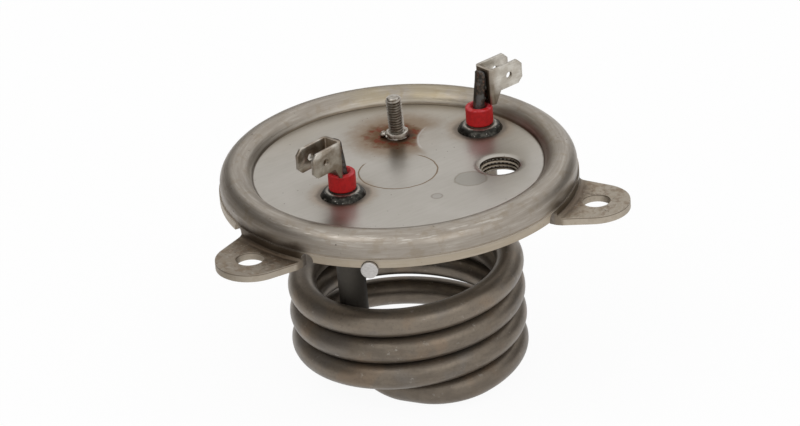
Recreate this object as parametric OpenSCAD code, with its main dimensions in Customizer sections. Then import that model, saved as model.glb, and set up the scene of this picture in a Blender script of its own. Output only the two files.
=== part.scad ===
// Immersion heating element for a coffee boiler: a stamped steel flange with two ears, and under it
// one sheathed heater tube wound into a coil, whose two ends come up through the flange to tab
// terminals. Millimetres. The origin is on the flange's axis at the top of its flat disc, +Z points
// out of the boiler, and the line through the two ear holes is parallel to X.

/* [Flange] */
// Thickness of the flange's steel sheet
sheet_t = 2; // [1.5:0.1:2.3]
// Diameter of the circle that the round bead's crest follows
bead_ring_d = 80; // [74:1:90]
// Outer radius of the bead's round section
bead_r = 4; // [3.5:0.1:5]
// How far the middle of the bead's section lies below the disc's top
bead_drop = 0.8; // [0.2:0.1:1.4]
// Depth of the rim's trimmed edge below the disc's top
rim_drop = 4.9; // [4.2:0.1:7]
// How far the trimmed edge stands out from the bead's wall
edge_flare = 0.3; // [0.1:0.05:0.8]
// Height of the trimmed edge
edge_h = 2.2; // [1.5:0.1:2.6]

/* [Ears] */
// Distance of each ear's hole from the flange's axis
ear_hole_reach = 50; // [47:0.5:60]
// Angle between the two ears
ear_spread = 120; // [90:5:180]
// Diameter of each ear's hole
ear_hole_d = 7; // [5:0.5:8]
// Radius of each ear's round end
ear_end_r = 9; // [8:0.5:11]
// How far the round end's middle lies inside the hole's middle
ear_end_in = 0.7; // [0:0.1:1.5]
// Width of each ear where it leaves the rim
ear_base_w = 21; // [19:0.5:24]
// How far an ear's top lies below the rim's trimmed edge
ear_step = 0.3; // [0.1:0.1:1]
// Radius of the bend between the rim's wall and an ear
ear_bend_r = 1.5; // [0.5:0.1:2.5]
// Width of the relief notch at each side of an ear
notch_w = 3.4; // [2:0.1:4.5]
// How far a relief notch reaches up from the rim's trimmed edge
notch_h = 2; // [1.2:0.1:2.6]

/* [Tapped hole] */
// Distance of the tapped hole from the flange's axis
tap_reach = 25; // [22:0.5:28]
// Direction of the tapped hole from the flange's axis
tap_angle = -17; // [-35:1:-5]
// Diameter at the crests of its thread, the drilled size
tap_bore_d = 9; // [6:0.5:10]
// Diameter at the roots of its thread, the nominal size
tap_thread_d = 10; // [7:0.5:11]
// Wall of the drawn collar round the bore
tap_wall = 1.5; // [1:0.1:2]
// Depth of the drawn collar below the disc's top
tap_depth = 3.9; // [3:0.1:6]
// Diameter of the shallow dimple round the bore's mouth
tap_dimple_d = 13.4; // [12.5:0.1:15]
// Depth of the dimple at the bore's mouth
tap_dimple_h = 0.4; // [0.2:0.1:0.8]

/* [Heater tube] */
// Outer diameter of the sheath tube
tube_d = 7; // [6:0.1:7.5]
// Wall of the sheath tube
tube_wall = 0.6; // [0.4:0.1:1]
// Diameter of the coil at the tube's middle
coil_d = 51.8; // [50:0.2:54]
// Gap between neighbouring turns of the coil
turn_gap = 0.2; // [0.1:0.1:2]
// Whole turns before the last part turn
coil_turns = 3; // [3:1:5]
// Depth of the coil's first turn below the disc's top, at the tube's middle
coil_depth = 26.8; // [24:0.2:45]
// Radius of the bend between the outer leg and the coil
outer_bend_r = 10; // [8:0.5:11]
// Straight length between that bend and the coil
outer_lead = 1.3; // [0.5:0.1:3]
// How far the last part turn runs before it curls inward, in degrees
last_arc = 69; // [66:0.5:72]
// Radius of the inward curl at the tube's middle
curl_r = 13; // [12:0.2:13.6]
// Radius of the bend between the curl and the inner leg
inner_bend_r = 13; // [9:0.5:14]
// Gap between the inner leg and the coil's turns
leg_gap = 0.3; // [0.2:0.1:1]
// Height of the tube's two ends above the disc's top
tube_end_h = 1.6; // [1:0.1:3]

/* [Terminals] */
// Direction of the outer terminal from the flange's axis, the inner one being opposite
terminal_line = 30; // [20:1:40]
// Diameter of the cold pins
pin_d = 3; // [2:0.1:3.4]
// Height of each cold pin's top above the disc
pin_top = 14.3; // [11:0.1:15]
// Depth of each cold pin's foot below the disc
pin_foot = 14; // [8:0.5:15]
// Width of the braze collars round the tube's ends
collar_w = 2.05; // [1:0.05:2.2]
// Height of the braze collars
collar_h = 1.5; // [1:0.1:1.6]
// Diameter of the insulator beads
bead_d = 6.8; // [5.5:0.1:7]
// Height of the insulator beads above the tube's ends
bead_h = 4.7; // [3.5:0.1:5.5]
// Diameter of the cone at the top of each insulator bead's hole
bead_cone_d = 4.6; // [3.5:0.1:5]
// Length of the insulator bead's spigot in the tube
bead_spigot = 3; // [1.5:0.1:4]
// Height of a terminal blade
blade_h = 6.3; // [4.8:0.1:6.3]
// Thickness of a terminal blade
blade_t = 0.8; // [0.5:0.1:0.9]
// Length of a blade from the web's back to its tip
blade_len = 10.4; // [8:0.1:12]
// Width of the terminal's web, over both blades
web_w = 6; // [5:0.1:7]
// Height of the blades' lower edge above the disc
blade_base = 9.5; // [8.8:0.1:11]
// Diameter of the hole in each blade
blade_hole_d = 1.8; // [1:0.1:2.2]
// Distance of that hole from the web's back
blade_hole_x = 6.1; // [4:0.1:7]
// Size of the cut corners at a blade's tip
blade_cut = 1.35; // [0.5:0.05:1.8]
// Thickness of the weld between a pin and its terminal's web
weld_t = 0.35; // [0.1:0.05:0.6]
// Width of that weld
weld_w = 1.8; // [1:0.1:2.4]
// Height of that weld, down from the pin's top
weld_h = 4.4; // [2:0.1:5]
// Length of the tongue below a blade where it leaves the blade, from the web's back
tongue_root = 3.2; // [2:0.1:4]
// Width of the tongue's foot on the insulator bead
tongue_foot = 1.3; // [0.8:0.1:1.6]
// How far the web reaches down below the blades at its back
web_skirt = 0.8; // [0.2:0.1:1.5]
// Turn of the inner terminal from the line of the terminals
inner_twist = 3.6; // [-10:0.2:10]
// Turn of the outer terminal from the line of the terminals
outer_twist = -2.4; // [-10:0.2:10]

/* [Stud and locating pin] */
// Distance of the stud from the flange's axis
stud_reach = 18.2; // [14:0.1:24]
// Direction of the stud from the flange's axis
stud_angle = 77; // [65:1:110]
// Diameter of the stud over its thread
stud_d = 4; // [3:0.5:5]
// Height of the stud above the disc
stud_h = 10.5; // [7:0.5:15]
// Diameter of the stud's welded foot
stud_foot_d = 6.2; // [5.5:0.1:8]
// Height of the stud's welded foot
stud_foot_h = 1.3; // [0.5:0.1:1.8]
// Lean of the stud from upright
stud_lean = 2; // [0:0.5:4]
// Direction in which the stud leans
stud_lean_to = 168; // [0:5:360]
// Diameter of the locating pin
key_d = 4.2; // [3:0.1:4.6]
// Length of the locating pin
key_len = 7; // [5:0.5:9]
// How far the locating pin stands out of the rim's edge
key_proud = 0.9; // [0.2:0.1:2]
// Depth of the locating pin's middle below the rim's trimmed edge
key_drop = 0.3; // [0:0.1:0.6]
// Direction of the locating pin from the flange's axis
key_angle = 247; // [240:1:255]

/* [Hidden] */
$fn = 64;
// Radial clearance of the tube in the disc's holes and in its braze collars
tube_fit = 0.05;
// Radial clearance between the tube's layers, and of the pins in the beads
core_fit = 0.05;
// Radial clearance of the locating pin in its notch
key_fit = 0.1;
// Gap between a terminal's feet and its insulator bead
foot_gap = 0.15;
// Extra length by which a cut passes the face that it opens
over = 1;
// The tube's route is joined at this share of its size and then enlarged, so that the rounding of
// its many turns stays below the tolerance at which two faces count as one
shrink = 0.001;

// Flange section
ring_r = bead_ring_d / 2;
rim_r = ring_r + bead_r;
wall_in_r = rim_r - sheet_t;
hollow_r = bead_r - sheet_t;
edge_r = rim_r + edge_flare;
// Heights of an ear's two faces
ear_top = -rim_drop - ear_step;
ear_low = ear_top - sheet_t;
ear_angles = [270 - ear_spread / 2, 270 + ear_spread / 2];
// Half the angle between the two notches of an ear, at the rim's wall
notch_half = asin((ear_base_w / 2 + notch_w / 2) / rim_r);

// Tapped hole
tap_collar_r = tap_bore_d / 2 + tap_wall;
tap_place = tap_reach * [cos(tap_angle), sin(tap_angle)];
thread_depth = (tap_thread_d - tap_bore_d) / 2;
dimple_run = (tap_dimple_d - tap_thread_d) / 2;
dimple_arc_r = (dimple_run * dimple_run + tap_dimple_h * tap_dimple_h) / (2 * tap_dimple_h);

// Coil: each half turn is one arc in a plane tilted by coil_tilt, and the tube is level where two
// half turns meet, so its centre line has no corner there
coil_r = coil_d / 2;
coil_pitch = tube_d + turn_gap;
coil_tilt = asin(coil_pitch / (4 * coil_r));
half_turns = 2 * coil_turns;

// Terminals: the outer leg stands on a tangent of the coil and the inner one inside its turns
tangent_run = outer_lead + outer_bend_r;
join_r = coil_r * cos(coil_tilt);
outer_reach = norm([join_r, tangent_run]);
inner_reach = coil_r - tube_d - leg_gap;
// Places of the two terminals, outer first, and the directions of their blades
terminal_places = [outer_reach * [cos(terminal_line), sin(terminal_line)],
                   -inner_reach * [cos(terminal_line), sin(terminal_line)]];
blade_angles = [terminal_line + outer_twist, terminal_line + 180 + inner_twist];
coil_start = terminal_line - atan2(tangent_run, join_r);

// The last arc and the curl lie in one tilted plane, with angles clockwise from the coil's start.
// The curl ends on the tangent that passes over the inner leg's foot
plane_z = -coil_depth - coil_pitch / 4 - half_turns * coil_pitch / 2;
inner_turned = terminal_line + 180 - coil_start;
inner_foot = inner_reach * [cos(inner_turned) / cos(coil_tilt), -sin(inner_turned)];
curl_middle = (coil_r - curl_r) * [cos(last_arc), sin(last_arc)];
foot_line = inner_foot - curl_middle;
curl_end = (atan2(foot_line[1], foot_line[0]) - acos(curl_r / norm(foot_line)) + 360) % 360;
curl_exit = curl_middle + curl_r * [cos(curl_end), sin(curl_end)];
// Downward slope where the tube leaves the curl, and the straight length left before its last bend
exit_slope = asin(sin(curl_end) * sin(coil_tilt));
exit_run = sqrt(foot_line * foot_line - curl_r * curl_r);
inner_lead = exit_run - inner_bend_r * (1 + sin(exit_slope)) / cos(exit_slope);
// Height of the inner leg's foot, where that bend ends
inner_foot_z = plane_z + curl_exit[0] * sin(coil_tilt) - inner_lead * sin(exit_slope)
    + inner_bend_r * cos(exit_slope);

// Bending table of the tube after its first straight leg: the straight length before each bend,
// the roll about the tube, the bend's radius and its angle
bends = concat(
    [[0, 0, outer_bend_r, 90],
     [outer_lead, 90 + coil_tilt, coil_r, 180]],
    [for (h = [2 : half_turns]) [0, 2 * coil_tilt, coil_r, 180]],
    [[0, 2 * coil_tilt, coil_r, last_arc],
     [0, 0, curl_r, curl_end - last_arc],
     [inner_lead, atan2(-cos(coil_tilt), -sin(coil_tilt) * cos(curl_end)), inner_bend_r,
      90 + exit_slope]]);

// First and last rows of the stretches in which the sheath is drawn. The first straight leg goes with
// the first row and the second one follows the last row
outer_leg_rows = [0, 0];
first_turn_rows = [1, 2];
middle_turns_rows = [3, half_turns - 2];
last_turn_rows = [half_turns - 1, half_turns];
tail_rows = [half_turns + 1, half_turns + 2];
inner_leg_rows = [half_turns + 3, len(bends)];
all_rows = [0, len(bends)];

// Heights at the terminals
bead_top = tube_end_h + bead_h;
fill_top = tube_end_h - bead_spigot;
foot_z = bead_top + foot_gap;
// Distance of each web's back from its pin's axis
web_back = pin_d / 2 + weld_t;

// Locating pin
key_z = -rim_drop - key_drop;
key_out = edge_r + key_proud;

module at_terminal(i) {
    translate([terminal_places[i][0], terminal_places[i][1], 0]) children();
}

// Full section of the flange's disc and rim, to the right of the axis
module rim_section() {
    difference() {
        union() {
            translate([0, -sheet_t]) square([ring_r - hollow_r, sheet_t]);
            intersection() {
                translate([ring_r, -bead_drop]) circle(bead_r, $fn = 128);
                translate([0, -bead_drop]) square([rim_r + over, bead_r + over]);
            }
            translate([ring_r - hollow_r, -rim_drop])
                square([rim_r - ring_r + hollow_r, rim_drop - bead_drop]);
            translate([wall_in_r, -rim_drop]) square([edge_r - wall_in_r, edge_h]);
        }
        translate([ring_r, -bead_drop]) circle(hollow_r, $fn = 96);
        translate([ring_r - hollow_r, -rim_drop - over])
            square([2 * hollow_r, rim_drop + over - bead_drop]);
    }
}

// Plan of one ear, pointing along +X
module ear_plan() {
    end_x = ear_hole_reach - ear_end_in;
    // The flanks run from the rim to the tangent points of the round end
    flank_x = end_x - rim_r;
    flank_y = ear_base_w / 2;
    tangent = atan2(flank_y, -flank_x) - acos(ear_end_r / norm([flank_x, flank_y]));
    touch = ear_end_r * [cos(tangent), sin(tangent)];
    translate([end_x, 0]) circle(ear_end_r, $fn = 96);
    polygon([[wall_in_r - over, -flank_y], [rim_r, -flank_y],
             [end_x + touch[0], -touch[1]], [end_x + touch[0], touch[1]],
             [rim_r, flank_y], [wall_in_r - over, flank_y]]);
}

// One ear with the wall that carries it and the round of its bend
module ear() {
    bend_out = rim_r + ear_bend_r;
    difference() {
        union() {
            translate([0, 0, ear_low]) linear_extrude(sheet_t) ear_plan();
            intersection() {
                rotate_extrude($fn = 180) difference() {
                    translate([wall_in_r, ear_low])
                        square([bend_out - wall_in_r, ear_bend_r + sheet_t]);
                    translate([bend_out, ear_top + ear_bend_r]) circle(ear_bend_r);
                }
                translate([0, -ear_base_w / 2, ear_low])
                    cube([rim_r + ear_end_r, ear_base_w, sheet_t + rim_drop]);
            }
        }
        translate([0, 0, ear_low - over]) cylinder(h = sheet_t + rim_drop, r = wall_in_r, $fn = 180);
        translate([ear_hole_reach, 0, ear_low - over]) cylinder(h = sheet_t + 2 * over, d = ear_hole_d);
    }
}

// Round-topped relief cut through the rim, pointing along +X
module notch() {
    translate([wall_in_r - over, 0, 0]) {
        translate([0, 0, -rim_drop + notch_h - notch_w / 2]) rotate([0, 90, 0])
            cylinder(h = sheet_t + edge_flare + 2 * over, d = notch_w);
        translate([0, -notch_w / 2, ear_low - over])
            cube([sheet_t + edge_flare + 2 * over, notch_w,
                  over + notch_h - notch_w / 2 - rim_drop - ear_low]);
    }
}

// Drawn collar of the tapped hole, below the disc, with the round at its root
module tap_collar() {
    root_r = 0.8;
    rotate_extrude() difference() {
        translate([0, -tap_depth]) square([tap_collar_r + root_r, tap_depth - sheet_t / 2]);
        translate([tap_collar_r + root_r, -sheet_t - root_r]) circle(root_r);
        translate([tap_collar_r, -tap_depth - over])
            square([root_r + over, tap_depth + over - sheet_t - root_r]);
    }
}

// What the tapped hole removes: the dimple, the chamfers and the bore at the thread's crests
module tap_cut() {
    mouth_z = -tap_dimple_h;
    rotate_extrude() {
        difference() {
            translate([0, mouth_z]) square([tap_dimple_d / 2, tap_dimple_h + over]);
            translate([tap_dimple_d / 2, -dimple_arc_r]) circle(dimple_arc_r, $fn = 128);
        }
        polygon([[0, mouth_z], [tap_thread_d / 2, mouth_z],
                 [tap_bore_d / 2, mouth_z - thread_depth],
                 [tap_bore_d / 2, -tap_depth + thread_depth],
                 [tap_thread_d / 2, -tap_depth], [tap_thread_d / 2, -tap_depth - over],
                 [0, -tap_depth - over]]);
    }
}

module flange() {
    color([0.66, 0.64, 0.61]) difference() {
        union() {
            rotate_extrude($fn = 180) rim_section();
            for (a = ear_angles) rotate([0, 0, a]) ear();
            translate([tap_place[0], tap_place[1], 0]) tap_collar();
        }
        for (a = ear_angles, side = [-1, 1])
            rotate([0, 0, a + side * notch_half]) notch();
        translate([tap_place[0], tap_place[1], 0]) tap_cut();
        for (i = [0, 1]) at_terminal(i) translate([0, 0, -sheet_t - over])
            cylinder(h = sheet_t + 2 * over, d = tube_d + 2 * tube_fit);
        rotate([0, 0, key_angle]) translate([wall_in_r - over, 0, key_z]) rotate([0, 90, 0])
            cylinder(h = sheet_t + edge_flare + 2 * over, d = key_d + 2 * key_fit);
    }
}

// Ring or disc that is swept along the heater tube's route
module layer(outer_r, inner_r) {
    difference() {
        circle(outer_r, $fn = 48);
        if (inner_r > 0) circle(inner_r, $fn = 48);
    }
}

// One bend from the origin, off +Z toward +X, which ends square on the plane of what follows it
module bend(radius, angle, outer_r, inner_r) {
    reach = 2 * (radius + outer_r);
    translate([radius, 0, 0]) difference() {
        rotate([90, 0, 0]) rotate_extrude(angle = 180, $fn = 120)
            translate([radius, 0]) layer(outer_r, inner_r);
        if (angle < 180) rotate([0, angle, 0]) translate([-reach, -reach, 0])
            cube([2 * reach, 2 * reach, reach]);
    }
}

// The tube from row i of the bending table on, along +Z, drawn over the given rows
module route_from(i, rows, last_leg, outer_r, inner_r) {
    if (i == len(bends)) {
        linear_extrude(last_leg) layer(outer_r, inner_r);
    } else {
        run = bends[i][0] * shrink;
        radius = bends[i][2] * shrink;
        angle = bends[i][3];
        drawn = i >= rows[0];
        if (drawn && run > 0) linear_extrude(run) layer(outer_r, inner_r);
        translate([0, 0, run]) rotate([0, 0, bends[i][1]]) {
            if (drawn) bend(radius, angle, outer_r, inner_r);
            if (i < rows[1])
                translate([radius, 0, 0]) rotate([0, angle, 0]) translate([-radius, 0, 0])
                    route_from(i + 1, rows, last_leg, outer_r, inner_r);
        }
    }
}

// A layer of the heater over the given rows, up to the height top_z at both terminals
module heater_route(outer_r, inner_r, top_z, rows) {
    first_leg = (top_z + coil_depth - outer_bend_r) * shrink;
    last_leg = (top_z - inner_foot_z) * shrink;
    start = [terminal_places[0][0], terminal_places[0][1], top_z] * shrink;
    scale(1 / shrink) translate(start) rotate([0, 0, coil_start - 90]) rotate([180, 0, 0]) {
        if (rows[0] == 0) linear_extrude(first_leg) layer(outer_r * shrink, inner_r * shrink);
        translate([0, 0, first_leg])
            route_from(0, rows, last_leg, outer_r * shrink, inner_r * shrink);
    }
}

// One stretch of the sheath, which is a single tube with its stretches face to face
module sheath(rows) {
    color([0.42, 0.39, 0.36]) heater_route(tube_d / 2, tube_d / 2 - tube_wall, tube_end_h, rows);
}

module magnesia_fill() {
    color([0.93, 0.92, 0.88])
        heater_route(tube_d / 2 - tube_wall - core_fit, pin_d / 2 + core_fit, fill_top, all_rows);
}

// Envelope of the fine resistance winding, between the feet of the two cold pins
module resistance_coil() {
    color([0.35, 0.33, 0.32]) heater_route(pin_d / 2, 0, -pin_foot, all_rows);
}

// Cold pin with a chamfered top edge and the flat weld that carries its terminal
module terminal_pin(i) {
    edge = pin_d / 8;
    color([0.2, 0.19, 0.18]) at_terminal(i) {
        translate([0, 0, -pin_foot]) cylinder(h = pin_foot + pin_top - edge, d = pin_d);
        translate([0, 0, pin_top - edge]) cylinder(h = edge, d1 = pin_d, d2 = pin_d - 2 * edge);
        rotate([0, 0, blade_angles[i]]) translate([0, -weld_w / 2, pin_top - edge - weld_h])
            cube([web_back, weld_w, weld_h]);
    }
}

// Braze fillet round the tube's end, with a rounded shoulder
module braze_collar(i) {
    in_r = tube_d / 2 + tube_fit;
    out_r = in_r + collar_w;
    shoulder = min(collar_h, (out_r - in_r) * 0.7);
    color([0.2, 0.2, 0.2]) at_terminal(i) rotate_extrude() difference() {
        union() {
            translate([in_r, 0]) square([out_r - in_r - shoulder, collar_h]);
            intersection() {
                translate([out_r - shoulder, collar_h - shoulder]) circle(shoulder);
                translate([in_r, 0]) square([out_r - in_r, collar_h]);
            }
            translate([in_r, 0]) square([out_r - in_r, collar_h - shoulder]);
        }
        square([in_r, collar_h]);
    }
}

// Red insulator bead: a rounded cylinder on the tube's end with a spigot inside it
module insulator_bead(i) {
    r = bead_d / 2;
    round_r = 0.5;
    hole_r = pin_d / 2 + core_fit;
    cone_r = bead_cone_d / 2;
    spigot_r = tube_d / 2 - tube_wall - core_fit;
    color([0.66, 0.09, 0.1]) at_terminal(i) rotate_extrude() difference() {
        union() {
            for (z = [tube_end_h + round_r, bead_top - round_r])
                translate([r - round_r, z]) circle(round_r);
            translate([hole_r, tube_end_h]) square([r - round_r - hole_r, bead_h]);
            translate([hole_r, tube_end_h + round_r]) square([r - hole_r, bead_h - 2 * round_r]);
            translate([hole_r, fill_top]) square([spigot_r - hole_r, bead_spigot + round_r]);
        }
        translate([0, fill_top - over]) square([hole_r, bead_top - fill_top + 2 * over]);
        polygon([[0, bead_top + over], [cone_r, bead_top + over], [cone_r, bead_top],
                 [hole_r, bead_top - (cone_r - hole_r)], [0, bead_top - (cone_r - hole_r)]]);
    }
}

// Plan of the folded terminal: web and two blades, with round outer folds. The pin's axis is the
// origin and the blades point along +X
module terminal_plan() {
    fold_r = blade_t * 1.5;
    fold_y = web_w / 2 - fold_r;
    translate([web_back, 0]) difference() {
        union() {
            translate([fold_r, -web_w / 2]) square([blade_len - fold_r, web_w]);
            translate([0, -fold_y]) square([blade_len, 2 * fold_y]);
            for (side = [-1, 1]) translate([fold_r, side * fold_y]) circle(fold_r);
        }
        translate([fold_r, blade_t - web_w / 2]) square([blade_len, web_w - 2 * blade_t]);
        translate([blade_t, -fold_y]) square([blade_len, 2 * fold_y]);
        for (side = [-1, 1]) translate([fold_r, side * fold_y]) circle(fold_r - blade_t);
    }
}

// Side view of a blade with its cut corners and the tapered tongue that reaches down to the bead
module terminal_side() {
    tip = web_back + blade_len;
    high = blade_base + blade_h;
    tongue_in = web_back + 0.2;
    polygon([[web_back - over, high], [tip - blade_cut, high], [tip, high - blade_cut],
             [tip, blade_base + blade_cut], [tip - blade_cut, blade_base],
             [web_back + tongue_root, blade_base], [tongue_in + tongue_foot, foot_z],
             [tongue_in, foot_z], [web_back - over, blade_base - web_skirt]]);
}

module tab_terminal(i) {
    color([0.68, 0.66, 0.63]) at_terminal(i) rotate([0, 0, blade_angles[i]]) difference() {
        intersection() {
            translate([0, 0, foot_z]) linear_extrude(blade_base + blade_h - foot_z) terminal_plan();
            translate([0, web_w, 0]) rotate([90, 0, 0]) linear_extrude(2 * web_w) terminal_side();
        }
        translate([web_back + blade_hole_x, web_w, blade_base + blade_h / 2]) rotate([90, 0, 0])
            cylinder(h = 2 * web_w, d = blade_hole_d);
    }
}

// Stud over its thread's crests, with a chamfered tip and a welded foot
module threaded_stud() {
    tip = stud_d / 8;
    sink = stud_foot_d / 2 * sin(stud_lean);
    color([0.55, 0.52, 0.48])
        translate([stud_reach * cos(stud_angle), stud_reach * sin(stud_angle), sink])
        rotate([0, 0, stud_lean_to]) rotate([0, stud_lean, 0]) {
            cylinder(h = stud_foot_h * 0.6, d = stud_foot_d);
            translate([0, 0, stud_foot_h * 0.6])
                cylinder(h = stud_foot_h * 0.4, d1 = stud_foot_d, d2 = stud_foot_d - 0.8);
            cylinder(h = stud_h - tip, d = stud_d);
            translate([0, 0, stud_h - tip]) cylinder(h = tip, d1 = stud_d, d2 = stud_d - 2 * tip);
        }
}

// Short round pin lodged in the rim's notch, pointing away from the axis
module locating_pin() {
    color([0.7, 0.69, 0.67]) rotate([0, 0, key_angle])
        translate([key_out - key_len, 0, key_z]) rotate([0, 90, 0]) cylinder(h = key_len, d = key_d);
}

flange();
sheath(outer_leg_rows);  // sheath_outer_leg
sheath(first_turn_rows);  // sheath_first_turn
sheath(middle_turns_rows);  // sheath_middle_turns
sheath(last_turn_rows);  // sheath_last_turn
sheath(tail_rows);  // sheath_tail
sheath(inner_leg_rows);  // sheath_inner_leg
magnesia_fill();
resistance_coil();
terminal_pin(0);  // terminal_pin_outer
terminal_pin(1);  // terminal_pin_inner
braze_collar(0);  // braze_collar_outer
braze_collar(1);  // braze_collar_inner
insulator_bead(0);  // insulator_bead_outer
insulator_bead(1);  // insulator_bead_inner
tab_terminal(0);  // tab_terminal_outer
tab_terminal(1);  // tab_terminal_inner
threaded_stud();
locating_pin();
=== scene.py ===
"""Looks for an immersion heating element: stamped flange, coiled heater tube and tab terminals."""
import math

import bmesh
import bpy
from bpy.props import FloatProperty, FloatVectorProperty, IntProperty, PointerProperty
from mathutils import Matrix, Vector, noise


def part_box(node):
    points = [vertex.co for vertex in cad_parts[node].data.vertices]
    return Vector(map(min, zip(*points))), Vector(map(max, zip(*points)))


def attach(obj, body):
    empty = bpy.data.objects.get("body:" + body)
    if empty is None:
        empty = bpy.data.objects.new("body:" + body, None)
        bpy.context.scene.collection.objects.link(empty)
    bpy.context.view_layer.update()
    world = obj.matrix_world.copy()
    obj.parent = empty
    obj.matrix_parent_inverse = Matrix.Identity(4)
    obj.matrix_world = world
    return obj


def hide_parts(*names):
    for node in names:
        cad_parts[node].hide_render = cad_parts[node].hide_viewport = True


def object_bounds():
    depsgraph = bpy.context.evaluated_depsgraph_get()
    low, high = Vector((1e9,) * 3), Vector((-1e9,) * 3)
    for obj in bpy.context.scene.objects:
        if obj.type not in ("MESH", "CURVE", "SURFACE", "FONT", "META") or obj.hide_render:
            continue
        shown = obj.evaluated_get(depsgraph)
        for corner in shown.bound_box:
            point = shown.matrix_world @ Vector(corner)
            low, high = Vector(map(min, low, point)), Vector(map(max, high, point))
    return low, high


bl_info = {
    "name": "Heating element",
    "version": (1, 0, 0),
    "blender": (4, 5, 0),
    "location": "View3D > Sidebar > Heater",
    "description": "Dresses a flanged immersion heater and sets its studio",
    "category": "Object",
}

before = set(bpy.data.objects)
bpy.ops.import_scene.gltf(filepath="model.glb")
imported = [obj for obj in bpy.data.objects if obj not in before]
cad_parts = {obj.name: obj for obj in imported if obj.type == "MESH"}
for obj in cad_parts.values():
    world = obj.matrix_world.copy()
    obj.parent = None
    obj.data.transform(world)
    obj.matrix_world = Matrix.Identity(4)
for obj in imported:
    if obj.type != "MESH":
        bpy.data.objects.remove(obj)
CAD_BOX = [list(corner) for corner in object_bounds()]

# Lengths in this script are in millimetres, and meshes are made in metres at this scale
MM = 0.001
SIDES = ("outer", "inner")
SHEATH = [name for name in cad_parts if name.startswith("sheath_")]


def middle(node):
    """Centre of a node's box in plan."""
    low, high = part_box(node)
    return Vector(((low.x + high.x) / 2, (low.y + high.y) / 2)) / MM


TERMINALS = {side: middle(f"insulator_bead_{side}") for side in SIDES}
STUD = middle("threaded_stud")
FLOOR_Z = CAD_BOX[0][2]
# Flange, in radii: where the fillet at the foot of the bead starts, where the bead rises, where the
# wall of the trimmed edge stands, where the ears begin, and the middle of their pits
CREASE, BEAD_START, EDGE_WALL, EAR_START, EAR_PITS = 35.86, 36.08, 43.2, 45.0, 47.5
# Directions of the ears, and of the bead's farthest and nearest points in the picture
EAR_ANGLES = (math.radians(210), math.radians(330))
BACK, FRONT = math.radians(72), math.radians(262)
# Round marks on the disc: their places, and the radii of their outlines
SCRIBED, SCRIBED_R = (-0.5, -1.9), 9.7
WIPED, WIPED_R = (20.4, 10.4), 12.5
STAIN, STAIN_R = (15.2, -12.4), 3.9
PIP, PIP_R = (5.15, -18.7), 1.35
# Tapped hole: its place, the radii of its thread and the heights between which the thread runs
TAPPED = Vector((25 * math.cos(math.radians(-17)), 25 * math.sin(math.radians(-17))))
TAP_CREST, TAP_ROOT, TAP_MOUTH, TAP_END = 4.45, 5.02, -0.42, -3.88
# Coil, which starts at +X: the height of the tube's middle there, its fall in each turn, and the radius
# within which only the inner leg is
COIL_TOP, COIL_PITCH, COIL_INSIDE = -26.8, 7.2, 22.3
# The turns of tube where the coil springs open or lies as wound, and its lift there
SPRUNG = ((0, 0), (0.42, 0), (0.8, 1.8), (0.93, 1.6), (1.05, 0), (1.42, 0), (1.76, 1.3), (1.93, 1.2),
          (2.05, 0))
COILED = {"sheath_first_turn": 0, "sheath_middle_turns": 1, "sheath_last_turn": 2}


def srgb(r, g, b):
    """Linear colour of an 8-bit screen colour."""
    return tuple((c / 255 / 12.92 if c <= 10 else ((c / 255 + 0.055) / 1.055) ** 2.4) for c in (r, g, b))


def blank_tree(owner):
    """The node tree of a material or a world, emptied."""
    owner.use_nodes = True
    owner.node_tree.nodes.clear()
    return owner.node_tree


# ---------------------------------------------------------------- shader maths
class Value:
    """A node's output that reads as a number or a vector in Python expressions."""

    def __init__(self, shader, socket):
        self.shader, self.socket = shader, socket

    def math(self, operation, *terms):
        return self.shader.node("ShaderNodeMath", {"operation": operation}, dict(enumerate(terms)))

    def __add__(self, other):
        return self.math("ADD", self, other)

    def __radd__(self, other):
        return self.math("ADD", other, self)

    def __sub__(self, other):
        return self.math("SUBTRACT", self, other)

    def __rsub__(self, other):
        return self.math("SUBTRACT", other, self)

    def __mul__(self, other):
        return self.math("MULTIPLY", self, other)

    def __rmul__(self, other):
        return self.math("MULTIPLY", other, self)

    def __truediv__(self, other):
        return self.math("DIVIDE", self, other)

    def __abs__(self):
        return self.math("ABSOLUTE", self)


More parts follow.
